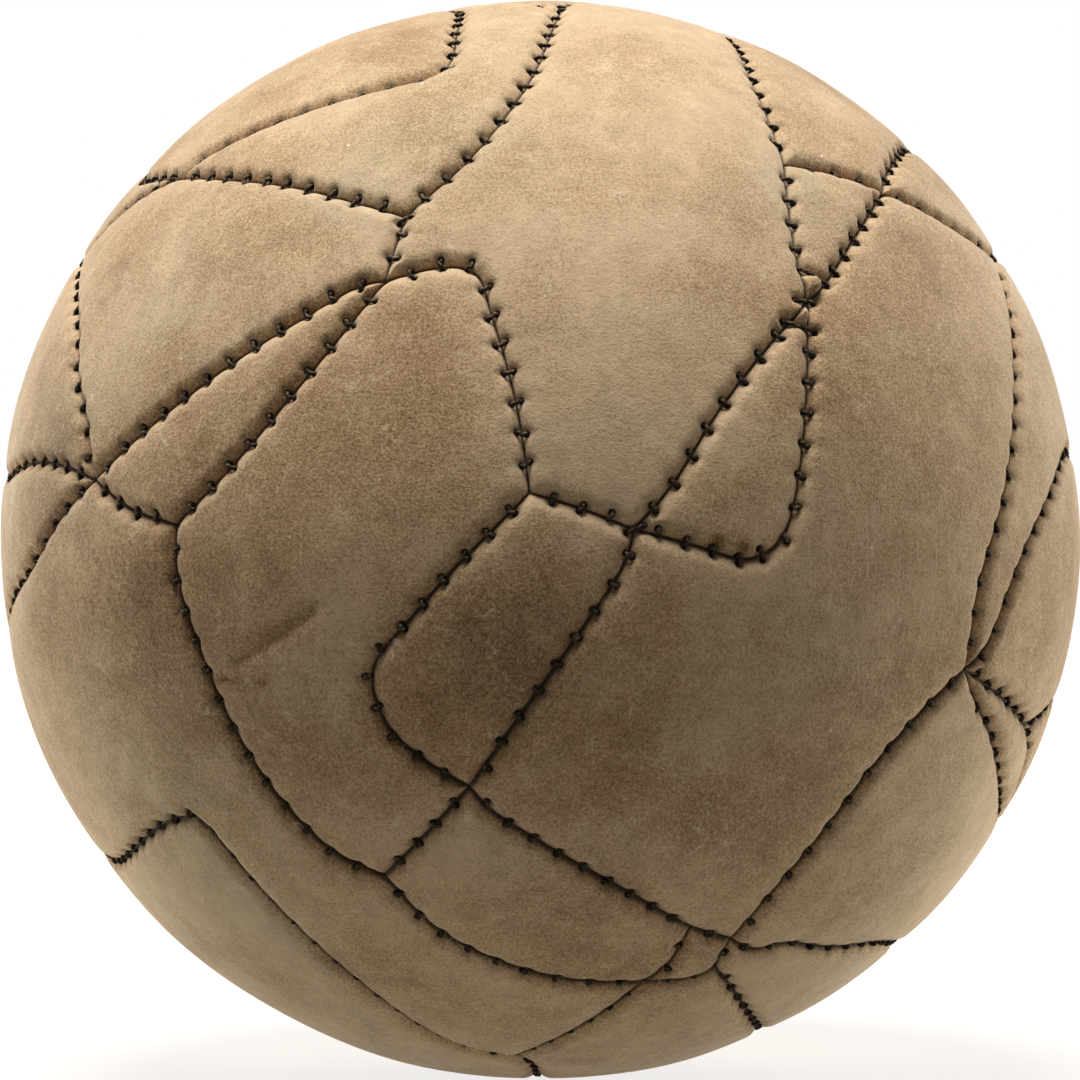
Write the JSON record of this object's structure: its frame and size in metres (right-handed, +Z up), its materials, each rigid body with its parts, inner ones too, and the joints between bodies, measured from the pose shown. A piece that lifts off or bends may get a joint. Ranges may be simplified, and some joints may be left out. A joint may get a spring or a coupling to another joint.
{
  "type": "leather soccer ball",
  "caption": "Round leather ball, hand sewn from odd-shaped panels with thick dark thread over a lined, inflatable rubber bladder with a needle valve.",
  "frame": {"origin": "centre of the ball", "axes": "+Z up through the valve, out of its mouth; the pictured side faces -Y and +X is to its right"},
  "size_m": [0.22, 0.22, 0.2199],
  "materials": {
    "nubuck_leather": "matte",
    "waxed_thread": "satin",
    "cotton_lining": "matte",
    "butyl_rubber": "matte"
  },
  "bodies": {
    "root": {"front_panel_1": "nubuck_leather", "front_panel_2": "nubuck_leather", "front_panel_3": "nubuck_leather", "front_panel_4": "nubuck_leather", "front_panel_5": "nubuck_leather", "front_panel_6": "nubuck_leather", "front_panel_7": "nubuck_leather", "front_panel_8": "nubuck_leather", "front_panel_9": "nubuck_leather", "front_panel_10": "nubuck_leather", "front_panel_11": "nubuck_leather", "front_panel_12": "nubuck_leather", "front_panel_13": "nubuck_leather", "front_panel_14": "nubuck_leather", "front_panel_15": "nubuck_leather", "front_panel_16": "nubuck_leather", "back_panel_1": "nubuck_leather", "back_panel_2": "nubuck_leather", "back_panel_3": "nubuck_leather", "back_panel_4": "nubuck_leather", "back_panel_5": "nubuck_leather", "back_panel_6": "nubuck_leather", "back_panel_7": "nubuck_leather", "back_panel_8": "nubuck_leather", "back_panel_9": "nubuck_leather", "back_panel_10": "nubuck_leather", "back_panel_11": "nubuck_leather", "back_panel_12": "nubuck_leather", "back_panel_13": "nubuck_leather", "back_panel_14": "nubuck_leather", "back_panel_15": "nubuck_leather", "back_panel_16": "nubuck_leather", "right_panel_1": "nubuck_leather", "right_panel_2": "nubuck_leather", "right_panel_3": "nubuck_leather", "right_panel_4": "nubuck_leather", "right_panel_5": "nubuck_leather", "left_panel_1": "nubuck_leather", "left_panel_2": "nubuck_leather", "left_panel_3": "nubuck_leather", "left_panel_4": "nubuck_leather", "left_panel_5": "nubuck_leather", "crown_panel": "nubuck_leather", "lining_front": "cotton_lining", "lining_back": "cotton_lining", "lining_right": "cotton_lining", "lining_left": "cotton_lining", "lining_crown": "cotton_lining", "bladder": "butyl_rubber", "valve_patch": "butyl_rubber", "valve_body": "butyl_rubber", "valve_plug": "butyl_rubber", "thread_front": "waxed_thread", "thread_back": "waxed_thread", "thread_sides": "waxed_thread"}
  },
  "joints": []
}
